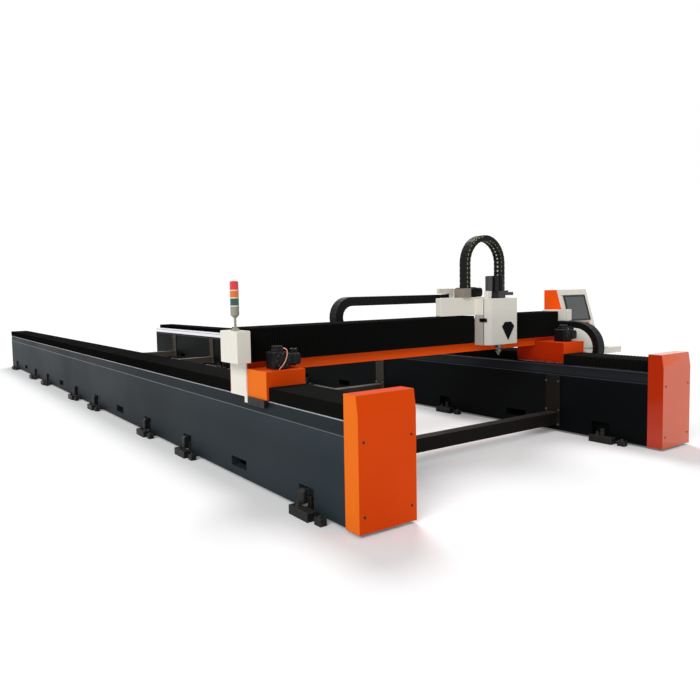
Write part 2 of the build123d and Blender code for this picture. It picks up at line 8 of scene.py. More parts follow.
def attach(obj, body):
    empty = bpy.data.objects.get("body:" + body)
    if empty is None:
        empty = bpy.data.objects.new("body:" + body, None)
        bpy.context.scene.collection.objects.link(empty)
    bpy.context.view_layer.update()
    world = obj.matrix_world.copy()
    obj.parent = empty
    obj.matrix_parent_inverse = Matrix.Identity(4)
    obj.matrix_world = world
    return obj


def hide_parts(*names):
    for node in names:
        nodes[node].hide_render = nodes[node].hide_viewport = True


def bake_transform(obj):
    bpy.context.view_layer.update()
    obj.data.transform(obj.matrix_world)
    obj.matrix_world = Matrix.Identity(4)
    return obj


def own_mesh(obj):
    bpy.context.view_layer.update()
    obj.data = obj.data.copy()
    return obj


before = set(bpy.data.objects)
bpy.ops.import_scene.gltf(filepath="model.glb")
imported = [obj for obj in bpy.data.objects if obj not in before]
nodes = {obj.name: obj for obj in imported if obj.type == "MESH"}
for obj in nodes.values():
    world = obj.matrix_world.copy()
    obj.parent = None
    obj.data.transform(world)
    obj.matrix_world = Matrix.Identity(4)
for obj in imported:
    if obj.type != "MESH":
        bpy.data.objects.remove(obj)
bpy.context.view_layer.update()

# Camera: it stands low off the near left corner and looks along the beds.
# Its place, its turn and the small shift come from the photograph's framing.
def placed(name, data):
    """New object in the scene, at the origin."""
    made = bpy.data.objects.new(name, data)
    bpy.context.scene.collection.objects.link(made)
    return made


def standing(x_axis, y_axis, z_axis, place=(0, 0, 0)):
    """Matrix whose columns are an object's three axes and its place."""
    made = np.eye(4)
    made[:3] = np.stack([x_axis, y_axis, z_axis, place], 1)
    return Matrix(made.tolist())


yaw, pitch, roll = math.radians(33.05), math.radians(4.113), -0.023
camera_place = (-4.066, -8.275, 1.305)
forward = np.array([math.sin(yaw) * math.cos(pitch), math.cos(yaw) * math.cos(pitch), -math.sin(pitch)])
level = np.array([math.cos(yaw), -math.sin(yaw), 0.0])
upright = np.cross(level, forward)
right = level * math.cos(roll) + upright * math.sin(roll)
up = upright * math.cos(roll) - level * math.sin(roll)
camera_data = bpy.data.cameras.new("camera")
camera_data.sensor_width = 36.0
camera_data.lens = 32.7
camera_data.shift_x = 0.0656
camera_data.shift_y = -0.0133
camera_data.clip_end = 200.0
camera = placed("camera", camera_data)
camera.matrix_world = standing(right, up, -forward, camera_place)
bpy.context.scene.camera = camera
bpy.context.scene.view_settings.view_transform = "Standard"

# Light: broad soft lamps from the left and from behind above, and a pale room all round.
# The floor is pale and plain, and takes the machine's soft shadow.
def new_node(tree, kind, values=(), **settings):
    """Shader node with its settings by name, and values for sockets by name or number."""
    made = tree.nodes.new("ShaderNode" + kind)
    for setting, value in settings.items():
        setattr(made, setting, value)
    for socket, value in dict(values).items():
        made.inputs[socket].default_value = value
    return made


def join_up(tree, *pairs):
    """Links of a node tree, each an output socket and the input that it feeds."""
    for source, target in pairs:
        tree.links.new(source, target)


world = bpy.data.worlds.new("pale_room")
bpy.context.scene.world = world
world.use_nodes = True
room = world.node_tree
room.nodes.clear()
room_out = new_node(room, "OutputWorld")
room_mix = new_node(room, "MixShader")
room_light = new_node(room, "Background", {"Color": (0.97, 0.98, 1.0, 1), "Strength": 0.40})
room_seen = new_node(room, "Background", {"Color": (1, 1, 1, 1), "Strength": 1.0})
room_path = new_node(room, "LightPath")
seen_or_gloss = new_node(room, "Math", operation="MAXIMUM")
seen_at_all = new_node(room, "Math", operation="MAXIMUM")
join_up(room,
        (room_path.outputs["Is Camera Ray"], seen_or_gloss.inputs[0]),
        (room_path.outputs["Is Glossy Ray"], seen_or_gloss.inputs[1]),
        (seen_or_gloss.outputs[0], seen_at_all.inputs[0]),
        (room_path.outputs["Is Transmission Ray"], seen_at_all.inputs[1]),
        (seen_at_all.outputs[0], room_mix.inputs[0]),
        (room_light.outputs[0], room_mix.inputs[1]),
        (room_seen.outputs[0], room_mix.inputs[2]),
        (room_mix.outputs[0], room_out.inputs["Surface"]))

for lamp_name, energy, spread, towards in (("left_lamp", 2.0, 30, (-0.74, -0.38, 0.55)),
                                           ("rear_lamp", 1.7, 22, (0.30, 0.52, 0.80))):
    lamp_data = bpy.data.lights.new(lamp_name, "SUN")
    lamp_data.energy = energy
    lamp_data.angle = math.radians(spread)
    aim = np.array(towards) / np.linalg.norm(towards)
    side = np.cross([0, 0, 1], aim)
    side = side / np.linalg.norm(side)
    placed(lamp_name, lamp_data).matrix_world = standing(side, np.cross(aim, side), aim)

floor_reach = 70.0
floor_mesh = bpy.data.meshes.new("floor")
floor_corners = [(x * floor_reach, y * floor_reach, 0) for x, y in ((-1, -1), (1, -1), (1, 1), (-1, 1))]
floor_mesh.from_pydata(floor_corners, [], [(0, 1, 2, 3)])
floor = placed("floor", floor_mesh)
floor_coat = bpy.data.materials.new("pale_floor")
floor_coat.use_nodes = True
ground = floor_coat.node_tree
ground.nodes.clear()
ground_out = new_node(ground, "OutputMaterial")
ground_add = new_node(ground, "AddShader")
matt = new_node(ground, "BsdfDiffuse", {"Color": (0.82, 0.82, 0.82, 1)})
glow = new_node(ground, "Emission")
ground_path = new_node(ground, "LightPath")
glow_share = new_node(ground, "Math", {1: 0.10}, operation="MULTIPLY")
join_up(ground,
        (ground_path.outputs["Is Camera Ray"], glow_share.inputs[0]),
        (glow_share.outputs[0], glow.inputs["Strength"]),
        (matt.outputs[0], ground_add.inputs[0]),
        (glow.outputs[0], ground_add.inputs[1]),
        (ground_add.outputs[0], ground_out.inputs["Surface"]))
floor_mesh.materials.append(floor_coat)


# Beds: two hollow box beams welded from steel plate, sprayed in dark slate enamel.
# Their side plates have a long bend. A ground bead runs along each ledge, made bright by a painted highlight,
# and a thin strip at each bend is a painted highlight line.
SPAN = 3446.0  # width over both beds, so that x on one bed is SPAN - x on the other
BED_PAIR = 418.0  # x of a bed's two side plates added, so that BED_PAIR - x is its other side
BED_LENGTH = 11200.0
CORNER = (-2043.0, -5538.0, 0.0)  # the left end cover's back lower corner


def from_corner(points):
    """Points in millimetres from the corner, as row metres: (p + CORNER) / 1000."""
    return (np.asarray(points, float) + CORNER) / 1000.0


def shader_group(name, inputs, outputs):
    """Empty shader node group with named sockets, as (tree, input node, output node)."""
    tree = bpy.data.node_groups.new(name, "ShaderNodeTree")
    for label, kind, value in inputs:
        socket = tree.interface.new_socket(label, in_out="INPUT", socket_type=kind)
        if value is not None:
            socket.default_value = value
    for label, kind in outputs:
        tree.interface.new_socket(label, in_out="OUTPUT", socket_type=kind)
    return tree, tree.nodes.new("NodeGroupInput"), tree.nodes.new("NodeGroupOutput")


FLOAT, COLOUR, VECTOR = "NodeSocketFloat", "NodeSocketColor", "NodeSocketVector"


def make_film_group():
    """Sprayed or moulded skin: slow shade drift, finer speckle, roughness and height from noise."""
    tree, gin, gout = shader_group(
        "skin_drift",
        [("Vector", VECTOR, None), ("Colour", COLOUR, (0.5, 0.5, 0.5, 1)),
         ("Deeper", COLOUR, (0.4, 0.4, 0.4, 1)), ("Drift", FLOAT, 2.0), ("Grain", FLOAT, 300.0),
         ("Smooth", FLOAT, 0.3), ("Rough", FLOAT, 0.5)],
        [("Colour", COLOUR), ("Roughness", FLOAT), ("Height", FLOAT)])
    slow = new_node(tree, "TexNoise", {"Detail": 5.0})
    fine = new_node(tree, "TexNoise", {"Detail": 2.0})
    mix = new_node(tree, "Mix", data_type="RGBA")
    span = new_node(tree, "MapRange", {"From Min": 0.3, "From Max": 0.7})
    join_up(tree,
            (gin.outputs["Vector"], slow.inputs["Vector"]),
            (gin.outputs["Vector"], fine.inputs["Vector"]),
            (gin.outputs["Drift"], slow.inputs["Scale"]),
            (gin.outputs["Grain"], fine.inputs["Scale"]),
            (slow.outputs[0], span.inputs["Value"]),
            (gin.outputs["Smooth"], span.inputs["To Min"]),
            (gin.outputs["Rough"], span.inputs["To Max"]),
            (slow.outputs[0], mix.inputs["Factor"]),
            (gin.outputs["Colour"], mix.inputs["A"]),
            (gin.outputs["Deeper"], mix.inputs["B"]),
            (mix.outputs["Result"], gout.inputs["Colour"]),
            (span.outputs[0], gout.inputs["Roughness"]),
            (fine.outputs[0], gout.inputs["Height"]))
    return tree


def make_edge_group():
    """Wear where faces meet: one less the cosine between the rounded and the plain normal,
    broken up by noise, lays the worn colour over the coat."""
    tree, gin, gout = shader_group(
        "edge_wear",
        [("Vector", VECTOR, None), ("Colour", COLOUR, (0.5, 0.5, 0.5, 1)),
         ("Worn", COLOUR, (0.6, 0.6, 0.6, 1)), ("Amount", FLOAT, 1.0)],
        [("Colour", COLOUR)])
    soft = new_node(tree, "Bevel", {"Radius": 0.006}, samples=4)
    plain = new_node(tree, "NewGeometry")
    dot = new_node(tree, "VectorMath", operation="DOT_PRODUCT")
    less = new_node(tree, "MapRange", {"From Min": 1.0, "From Max": 0.86})
    noise = new_node(tree, "TexNoise", {"Scale": 14.0, "Detail": 4.0})
    times = new_node(tree, "Math", operation="MULTIPLY")
    share = new_node(tree, "Math", operation="MULTIPLY", use_clamp=True)
    mix = new_node(tree, "Mix", data_type="RGBA")
    join_up(tree,
            (soft.outputs[0], dot.inputs[0]),
            (plain.outputs["True Normal"], dot.inputs[1]),
            (dot.outputs["Value"], less.inputs["Value"]),
            (gin.outputs["Vector"], noise.inputs["Vector"]),
            (less.outputs[0], times.inputs[0]),
            (noise.outputs[0], times.inputs[1]),
            (times.outputs[0], share.inputs[0]),
            (gin.outputs["Amount"], share.inputs[1]),
            (share.outputs[0], mix.inputs["Factor"]),
            (gin.outputs["Colour"], mix.inputs["A"]),
            (gin.outputs["Worn"], mix.inputs["B"]),
            (mix.outputs["Result"], gout.inputs["Colour"]))
    return tree


def make_dust_group():
    """Dust that settles: the upward share of the normal, cubed and broken up by noise."""
    tree, gin, gout = shader_group(
        "settled_dust",
        [("Vector", VECTOR, None), ("Colour", COLOUR, (0.5, 0.5, 0.5, 1)),
         ("Dust", COLOUR, (0.4, 0.38, 0.35, 1)), ("Amount", FLOAT, 0.2)],
        [("Colour", COLOUR)])
    plain = new_node(tree, "NewGeometry")
    parts_of = new_node(tree, "SeparateXYZ")
    above = new_node(tree, "Math", {1: 0.0}, operation="MAXIMUM")
    cubed = new_node(tree, "Math", {1: 3.0}, operation="POWER", use_clamp=True)
    noise = new_node(tree, "TexNoise", {"Scale": 5.0, "Detail": 6.0})
    times = new_node(tree, "Math", operation="MULTIPLY")
    share = new_node(tree, "Math", operation="MULTIPLY")
    mix = new_node(tree, "Mix", data_type="RGBA")
    join_up(tree,
            (plain.outputs["Normal"], parts_of.inputs[0]),
            (parts_of.outputs["Z"], above.inputs[0]),
            (above.outputs[0], cubed.inputs[0]),
            (gin.outputs["Vector"], noise.inputs["Vector"]),
            (cubed.outputs[0], times.inputs[0]),
            (noise.outputs[0], times.inputs[1]),
            (times.outputs[0], share.inputs[0]),
            (gin.outputs["Amount"], share.inputs[1]),
            (share.outputs[0], mix.inputs["Factor"]),
            (gin.outputs["Colour"], mix.inputs["A"]),
            (gin.outputs["Dust"], mix.inputs["B"]),
            (mix.outputs["Result"], gout.inputs["Colour"]))
    return tree


SKIN, EDGE, DUST = make_film_group(), make_edge_group(), make_dust_group()


def finish(name, colour, deeper, smooth, rough, worn=None, wear=0.0, dust=0.0, metal=0.0, coat=0.0,
           specular=0.5, grain=400.0, relief=0.0004, drift=2.5):
    """One surface finish: drifting colour, worn edges, settled dust and a fine relief."""
    made = bpy.data.materials.new(name)
    made.use_nodes = True
    tree = made.node_tree
    shader = tree.nodes["Principled BSDF"]
    spot = new_node(tree, "TexCoord").outputs["Object"]
    skin = new_node(tree, "Group", {"Colour": (*colour, 1), "Deeper": (*deeper, 1), "Drift": drift,
                                    "Grain": grain, "Smooth": smooth, "Rough": rough}, node_tree=SKIN)
    layers = []
    if wear:
        layers.append(new_node(tree, "Group", {"Worn": (*worn, 1), "Amount": wear}, node_tree=EDGE))
    if dust:
        layers.append(new_node(tree, "Group", {"Amount": dust}, node_tree=DUST))
    shade = skin.outputs["Colour"]
    for layer in layers:
        join_up(tree, (spot, layer.inputs["Vector"]), (shade, layer.inputs["Colour"]))
        shade = layer.outputs["Colour"]
    bump = new_node(tree, "Bump", {"Strength": 0.35, "Distance": relief})
    join_up(tree,
            (spot, skin.inputs["Vector"]),
            (skin.outputs["Height"], bump.inputs["Height"]),
            (shade, shader.inputs["Base Color"]),
            (skin.outputs["Roughness"], shader.inputs["Roughness"]),
            (bump.outputs[0], shader.inputs["Normal"]))
    for socket, value in (("Metallic", metal), ("Coat Weight", coat), ("Coat Roughness", 0.12),
                          ("Specular IOR Level", specular)):
        shader.inputs[socket].default_value = value
    return made


def dress(material, *names, edge=0.0):
    """Give CAD nodes a material, and where edge is set a rolled edge of that radius in metres."""
    for name in names:
        piece = nodes[name]
        piece.data.materials.clear()
        piece.data.materials.append(material)
        if edge:
            weld = piece.modifiers.new("weld", "WELD")
            weld.merge_threshold = 0.00005
            bevel = piece.modifiers.new("rolled_edge", "BEVEL")
            bevel.width = edge
            bevel.segments = 2
            bevel.limit_method = "ANGLE"
            bevel.angle_limit = math.radians(35)
            bevel.use_clamp_overlap = True


def add_piece(name, points, faces, material, body, slot=None):
    """Mesh object at the origin from points in millimetres, riding on a body."""
    mesh = bpy.data.meshes.new(name)
    mesh.from_pydata(from_corner(points).tolist(), [], [list(map(int, f)) for f in faces])
    mesh.update()
    mesh.materials.append(material)
    piece = placed(name, mesh)
    if body:
        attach(piece, body)
    return piece


def swept(section, stations, axis):
    """Closed section (k points of two numbers) carried along stations on one axis, ends closed.
    Point i, j is section i placed at station j."""
    section = np.asarray(section, float)
    stations = np.asarray(stations, float)
    k, n = len(section), len(stations)
    grid = np.zeros((n, k, 3))
    others = [i for i in range(3) if i != axis]
    grid[:, :, others] = section[None]
    grid[:, :, axis] = stations[:, None]
    j, i = np.meshgrid(np.arange(n - 1), np.arange(k), indexing="ij")
    a = (j * k + i).ravel()
    b = (j * k + (i + 1) % k).ravel()
    quads = np.stack([a, b, b + k, a + k], 1)
    x, y = section[:, 0], section[:, 1]
    area = 0.5 * np.sum(x * np.roll(y, -1) - np.roll(x, -1) * y)
    outward = (area > 0) != (axis == 1)
    faces = [list(q) if outward else list(q[::-1]) for q in quads]
    low, high = list(range(k)), list(range((n - 1) * k, n * k))
    faces += [low[::-1], high] if outward else [low, high[::-1]]
    return grid.reshape(-1, 3), faces


def joined(*meshes):
    """Several point and face lists as one."""
    made, faces, count = [], [], 0
    for points, own in meshes:
        faces += [[v + count for v in face] for face in own]
        made.append(points)
        count += len(points)
    return np.concatenate(made), faces


def mirrored(points, total):
    """Points whose x becomes total - x."""
    made = np.array(points, float)
    made[:, 0] = total - made[:, 0]
    return made


def painted_light_ramp(material, axis, stops):
    """Painted light and shade: colour times a ramp through (metres, share), following the place on one axis.
    """
    tree = material.node_tree
    shader, place = tree.nodes["Principled BSDF"], tree.nodes["Texture Coordinate"]
    low, high = stops[0][0], stops[-1][0]
    split = new_node(tree, "SeparateXYZ")
    span = new_node(tree, "MapRange", {"From Min": low, "From Max": high})
    ramp = new_node(tree, "ValToRGB")
    times = new_node(tree, "VectorMath", operation="MULTIPLY")
    steps = ramp.color_ramp.elements
    while len(steps) < len(stops):
        steps.new(0.5)
    for step, (at, share) in zip(steps, stops):
        step.position = (at - low) / (high - low)
        step.color = (share, share, share, 1)
    join_up(tree,
            (place.outputs["Object"], split.inputs[0]),
            (split.outputs[axis], span.inputs["Value"]),
            (span.outputs[0], ramp.inputs[0]),
            (shader.inputs["Base Color"].links[0].from_socket, times.inputs[0]),
            (ramp.outputs[0], times.inputs[1]),
            (times.outputs[0], shader.inputs["Base Color"]))


def painted_light_by_facing(material, direction, colour):
    """Painted light and shade: a second colour on faces turned to a direction; its share is the normal's
    own share along that direction, cubed."""
    tree = material.node_tree
    shader = tree.nodes["Principled BSDF"]
    plain = new_node(tree, "NewGeometry")
    along = new_node(tree, "VectorMath", {1: direction}, operation="DOT_PRODUCT")
    cubed = new_node(tree, "Math", {1: 3.0}, operation="POWER", use_clamp=True)
    mix = new_node(tree, "Mix", {"B": (*colour, 1)}, data_type="RGBA")
    join_up(tree,
            (plain.outputs["Normal"], along.inputs[0]),
            (along.outputs["Value"], cubed.inputs[0]),
            (cubed.outputs[0], mix.inputs["Factor"]),
            (shader.inputs["Base Color"].links[0].from_socket, mix.inputs["A"]),
            (mix.outputs["Result"], shader.inputs["Base Color"]))


SLATE = finish("slate_enamel", (0.066, 0.092, 0.110), (0.050, 0.071, 0.085), 0.42, 0.56,
               worn=(0.16, 0.19, 0.21), wear=0.4, dust=0.05, specular=0.06, drift=0.7)
# Painted light and shade: the slate is darker towards the floor and on the slanted band above the bend, and
# lighter towards the near end of the beds.
painted_light_ramp(SLATE, "Z", [(0.02, 0.44), (0.08, 0.55), (0.20, 0.55), (0.36, 0.48), (0.515, 0.60), (0.535, 0.30),
                   (0.62, 0.34)])
painted_light_ramp(SLATE, "Y", [(-5.6, 0.70), (-4.6, 0.64), (-3.7, 0.54), (-2.1, 0.36), (0.7, 0.33), (3.5, 0.40),
                   (5.7, 0.42)])
dress(SLATE, "bed_left")
# Painted shade: the right bed takes a much darker copy of the slate enamel, also darker towards the floor,
# and a painted highlight lightens the upper band just under its ledge.
SHADED_SLATE = finish("shaded_slate_enamel", (0.0050, 0.0058, 0.0065), (0.0034, 0.0040, 0.0046), 0.46, 0.60,
                    worn=(0.04, 0.045, 0.05), wear=0.3, dust=0.02, specular=0.04, drift=0.7)
painted_light_ramp(SHADED_SLATE, "Z", [(0.02, 0.5), (0.50, 0.6), (0.53, 1.0), (0.55, 3.4), (0.60, 2.6), (0.63, 1.0)])
dress(SHADED_SLATE, "bed_right")
# Painted highlights: light grey on the left bed's ledge beads and pale slate on its bend strips; on the right
# bed both take a faint lavender painted reflection.
BEAD_HIGHLIGHT = finish("ground_bead_painted_highlight", (0.44, 0.46, 0.48), (0.22, 0.24, 0.26), 0.3, 0.45, specular=0.3, drift=3.0)
BEND_HIGHLIGHT = finish("bend_painted_highlight", (0.085, 0.096, 0.108), (0.045, 0.052, 0.060), 0.3, 0.45, specular=0.3,
              drift=4.0)
INNER_REFLECTION = finish("inner_ledge_painted_reflection", (0.030, 0.034, 0.052), (0.016, 0.019, 0.030), 0.3, 0.45,
                    specular=0.2, drift=2.0)


def on_both_sides(section, on_right):
    """A section carried along both side plates of the left or the right bed."""
    sections = [section, mirrored(section, BED_PAIR)]
    if on_right:
        sections = [mirrored(one, SPAN) for one in sections]
    return joined(*(swept(one, [0, BED_LENGTH], 1) for one in sections))


bead_section = [(24.4, 615.0), (24.4, 617.6), (20.4, 616.6), (20.8, 611.0), (23.4, 611.4)]
bend_highlight_section = [(16.6, 523.0), (15.0, 525.0), (15.2, 530.0), (16.4, 531.0)]
for bed_side, on_right in (("left", False), ("right", True)):
    ledge_bead = add_piece(f"ledge_bead_{bed_side}", *on_both_sides(bead_section, on_right),
                           INNER_REFLECTION if on_right else BEAD_HIGHLIGHT, "beds", "ground_steel")
    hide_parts("edge_strips")
    add_piece(f"bend_highlight_{bed_side}", *on_both_sides(bend_highlight_section, on_right),
              INNER_REFLECTION if on_right else BEND_HIGHLIGHT, "beds", "bed_paint")
# Painted reflection: a pale strip on the far part of the right bed's inner band stands for the white room
# that the band reflects at a grazing angle.
REFLECTION_STRIP = finish("pale_painted_reflection", (0.90, 0.88, 0.92), (0.84, 0.80, 0.86), 0.3, 0.45, specular=0.3,
               drift=2.0)
reflection_section = [(3047.6, 556.0), (3046.0, 556.0), (3050.6, 646.0), (3052.2, 646.0)]
add_piece("inner_reflection_strip", *swept(reflection_section, [6300, 11190], 1), REFLECTION_STRIP, "beds", "ground_steel")

# End covers: folded from 3 mm sheet with a sloped upper edge, powder-coated orange.
# Four dome-head screws hold each one to the bed's end plate.
def orange_coat(name, colour, deeper, worn, smooth=0.42, rough=0.54, coat=0.0, specular=0.05):
    """Powder coat with rubbed edges and a little dust."""
    return finish(name, colour, deeper, smooth, rough, worn=worn, wear=0.5, dust=0.03, coat=coat,
                  specular=specular, grain=700.0)


ORANGE = orange_coat("orange_powder_coat", (0.70, 0.062, 0.0015), (0.67, 0.055, 0.001), (0.86, 0.24, 0.07))
# Painted light: faces turned to the left get a lighter, yellower orange.
painted_light_by_facing(ORANGE, (-1, 0, 0), (0.76, 0.152, 0.008))
# The right cover's copy of the orange has a real clear coat; its paler, pinker colour is a painted reflection
# on the front, and its left-facing faces are much darker, a painted shade.
GLOSS_ORANGE_PAINTED_LIGHT = orange_coat("orange_gloss_coat_painted_light", (0.66, 0.082, 0.012), (0.62, 0.074, 0.010),
                           (0.90, 0.30, 0.14), 0.38, 0.50, coat=0.8, specular=0.10)
painted_light_by_facing(GLOSS_ORANGE_PAINTED_LIGHT, (-1, 0, 0), (0.40, 0.020, 0.0005))
dress(ORANGE, "end_cover_left", edge=0.0035)
dress(GLOSS_ORANGE_PAINTED_LIGHT, "end_cover_right", edge=0.0035)


def turned(stations, sides=20, power=2.0):
    """Solid of ring sections: at height s a ring of radius r. Its point at angle t is
    r (|cos t|^(2/p) sign cos t, |sin t|^(2/p) sign sin t): p = 2 is round, 6 nearly square."""
    s = np.array([row[0] for row in stations], float)
    r = np.array([row[1] for row in stations], float)
    t = 2 * np.pi * np.arange(sides) / sides
    cx = np.sign(np.cos(t)) * np.abs(np.cos(t)) ** (2.0 / power)
    cy = np.sign(np.sin(t)) * np.abs(np.sin(t)) ** (2.0 / power)
    grid = np.stack([r[:, None] * cx, r[:, None] * cy, np.repeat(s[:, None], sides, 1)], 2)
    n = len(s)
    j, i = np.meshgrid(np.arange(n - 1), np.arange(sides), indexing="ij")
    a = (j * sides + i).ravel()
    b = (j * sides + (i + 1) % sides).ravel()
    faces = np.stack([a, b, b + sides, a + sides], 1).tolist()
    faces += [list(range(sides))[::-1], list(range((n - 1) * sides, n * sides))]
    return grid.reshape(-1, 3), faces


def turned_to(points, direction):
    """Turn points so that their height axis lies along direction: p = x e1 + y e2 + z e3."""
    e3 = np.asarray(direction, float)
    e3 = e3 / np.linalg.norm(e3)
    e1 = np.cross([0.0, 0.0, 1.0], e3)
    if np.linalg.norm(e1) < 1e-6:
        e1 = np.array([1.0, 0.0, 0.0])
    e1 = e1 / np.linalg.norm(e1)
    return points @ np.stack([e1, np.cross(e3, e1), e3])


def at_each(points, faces, places):
    """Copies of one small mesh, moved to each place."""
    places = np.asarray(places, float).reshape(-1, 3)
    made = (points[None] + places[:, None]).reshape(-1, 3)
    n = len(points)
    return made, [[v + n * c for v in face] for c in range(len(places)) for face in faces]


def moved(mesh, by, direction=None):
    """A mesh moved by a shift, its height axis first turned to a direction where one is given."""
    points, faces = mesh
    if direction is not None:
        points = turned_to(points, direction)
    return points + by, faces


DARK_SCREW = finish("blackened_screw", (0.035, 0.02, 0.018), (0.02, 0.015, 0.015), 0.35, 0.5, metal=0.4)
screw = moved(turned([(0, 8.5), (1.6, 8.2), (3.2, 6.0), (4.0, 3.0)], 12), (0, -124.0, 0), (0, -1, 0))
screw_places = [(x, 0, z) for x in (38, 376, SPAN - 376, SPAN - 38) for z in (112, 518)]
add_piece("cover_screws", *at_each(*screw, screw_places), DARK_SCREW, "beds", "black_oxide")

# Levelling feet: forked steel wedges under the bed's notches with jacking screws,
# and small anchor blocks bolted to the floor, all blackened and oily.
OXIDE = finish("black_oxide", (0.005, 0.005, 0.005), (0.012, 0.011, 0.010), 0.34, 0.6,
               worn=(0.16, 0.15, 0.13), wear=0.6, dust=0.06, specular=0.22, grain=250.0, drift=14.0)
BOLT = finish("oiled_bolt", (0.10, 0.095, 0.085), (0.03, 0.028, 0.026), 0.25, 0.5, metal=0.8, drift=30.0)
dress(OXIDE, "levelling_wedges", "levelling_screws", "floor_anchor_blocks", "guide_shoes")
BED_MODULE, FOOT_Y = 2800.0, (410.0, 2230.0)  # four modules of this length, two feet on each side
feet = [(module * BED_MODULE + y, inner) for module in range(4) for y in FOOT_Y for inner in (0, 1)]


def at_feet(x, behind, z):
    """The same place at every foot: x from the outer side, mirrored for the inner side and the
    other bed, and y that far from the foot's middle."""
    made = []
    for y, inner in feet:
        own_x = BED_PAIR - x if inner else x
        made += [(own_x, y + behind, z), (SPAN - own_x, y + behind, z)]
    return made


hexagon, hexagon_faces = turned([(0, 14), (1, 15), (10, 15), (11.5, 13)], 6)
washer = turned([(0, 20), (3, 20)], 16)
stud = turned([(0, 7), (26, 7), (28, 5)], 10)
foot_nut = joined(washer, (hexagon + (0, 0, 3), hexagon_faces), moved(stud, (0, 0, 6)))
add_piece("foot_nuts", *at_each(*foot_nut, at_feet(-58.0, -20.0, 56.0)), OXIDE, "beds", "black_oxide")
anchor_bolt = joined((washer[0] * (0.8, 0.8, 1), washer[1]),
                     (hexagon * (0.7, 0.7, 0.8) + (0, 0, 3), hexagon_faces))
add_piece("anchor_bolts", *at_each(*anchor_bolt, at_feet(-43.0, -231.0, 44.0)), BOLT, "beds",
          "ground_steel")
lock_nut = (hexagon * (1.5, 1.5, 1.2) - (0, 0, 44), hexagon_faces)
add_piece("screw_lock_nuts", *at_each(*lock_nut, at_feet(42.0, -6.0, 96.0)), OXIDE, "beds",
          "black_oxide")
clamp_section = [(-26, 60), (-26, 132), (-14, 150), (12, 150), (12, 140), (-10, 140), (-16, 128),
                 (-16, 60)]
clamp_places = [(0.0, y - 6.0, 0.0) for y, inner in feet if not inner]
left_clamps = at_each(*swept(clamp_section, [-24, 24], 1), clamp_places)
right_clamps = (mirrored(left_clamps[0], SPAN), [face[::-1] for face in left_clamps[1]])
add_piece("foot_clamps", *joined(left_clamps, right_clamps), OXIDE, "beds", "black_oxide")

# Tie bars: square tube between the beds, a tall flange plate bolted on at each end.
# They carry the same dark enamel, browned and scuffed where people step.
TIE = finish("dark_tie_enamel", (0.0060, 0.0055, 0.0045), (0.0110, 0.0085, 0.0070), 0.5, 0.65,
             worn=(0.08, 0.065, 0.055), wear=0.3, dust=0.10, specular=0.05, drift=3.0)
# Painted highlight: the tie bars are lighter the further they stand down the beds.
painted_light_ramp(TIE, "Y", [(-5.6, 1.0), (-4.2, 1.0), (-2.4, 4.0), (5.7, 6.0)])
dress(TIE, "tie_bars", edge=0.003)
TIE_Y = (872, 3330, 5790, 8250, 10100)
bolt_head = turned([(0, 12), (1, 13), (8, 13), (10, 11)], 6)
bolt_places = [(0, y + beside, z) for y in TIE_Y for beside in (-62, 62) for z in (74, 205, 470)]
heads = [at_each(*moved(bolt_head, (x, 0, 0), (way, 0, 0)), bolt_places)
         for x, way in ((416.0, 1), (SPAN - 416.0, -1))]
add_piece("flange_bolts", *joined(*heads), BOLT, "beds", "ground_steel")

# Ways: hardened rails and toothed racks screwed to the bed tops and the beam's front.
# Only their ends show, because folded covers hide the rest.
STEEL = finish("ground_steel", (0.62, 0.62, 0.63), (0.48, 0.48, 0.50), 0.18, 0.34, metal=1.0,
               grain=900.0, drift=9.0)
dress(STEEL, "bed_rails", "bed_racks", "beam_rails", "truck_carriage_blocks", "head_carriage_blocks",
      "pinion_left", "pinion_right")


# Folded covers: black coated cloth over stiffeners, sewn in even pleats, over ways and beam.
# Each pleated run is a fixed mesh, its transform baked in.
def cloth(name):
    """Coated cloth, dull and a little dusty: its weave stands out as the sum of two crossed waves."""
    made = finish(name, (0.0034, 0.0034, 0.0033), (0.0066, 0.0062, 0.0056), 0.72, 0.9,
                  worn=(0.03, 0.03, 0.032), wear=0.15, dust=0.03, specular=0.03, grain=60.0,
                  relief=0.0008, drift=1.6)
    tree = made.node_tree
    total = new_node(tree, "Math", operation="ADD")
    for socket, direction in enumerate("XZ"):
        wave = new_node(tree, "TexWave", {"Scale": 160.0}, bands_direction=direction)
        join_up(tree,
                (tree.nodes["Texture Coordinate"].outputs["Object"], wave.inputs["Vector"]),
                (wave.outputs[1], total.inputs[socket]))
    join_up(tree, (total.outputs[0], tree.nodes["Bump"].inputs["Height"]))
    return made


CLOTH = cloth("black_pleat_cloth")
# Painted shade: the cloth gets darker down the beds, away from the near end.
painted_light_ramp(CLOTH, "Y", [(-5.6, 1.0), (-4.5, 0.9), (-2.5, 0.35), (5.7, 0.25)])


def pleats(crest, valley, start, end, pitch, axis):
    """Section that swings between a crest and a valley outline: at s it is
    valley + (crest - valley) |1 - 2 frac(s / pitch)|, with the ends closed."""
    count = max(2, int(round((end - start) / pitch)))
    s = np.linspace(start, end, 2 * count + 1)
    share = np.where(np.arange(2 * count + 1) % 2 == 0, 1.0, 0.0)
    crest, valley = np.asarray(crest, float), np.asarray(valley, float)
    points, faces = swept(crest, s, axis)
    grid = points.reshape(len(s), len(crest), 3)
    others = [i for i in range(3) if i != axis]
    grid[:, :, others] = valley[None] + (crest - valley)[None] * share[:, None, None]
    return grid.reshape(-1, 3), faces


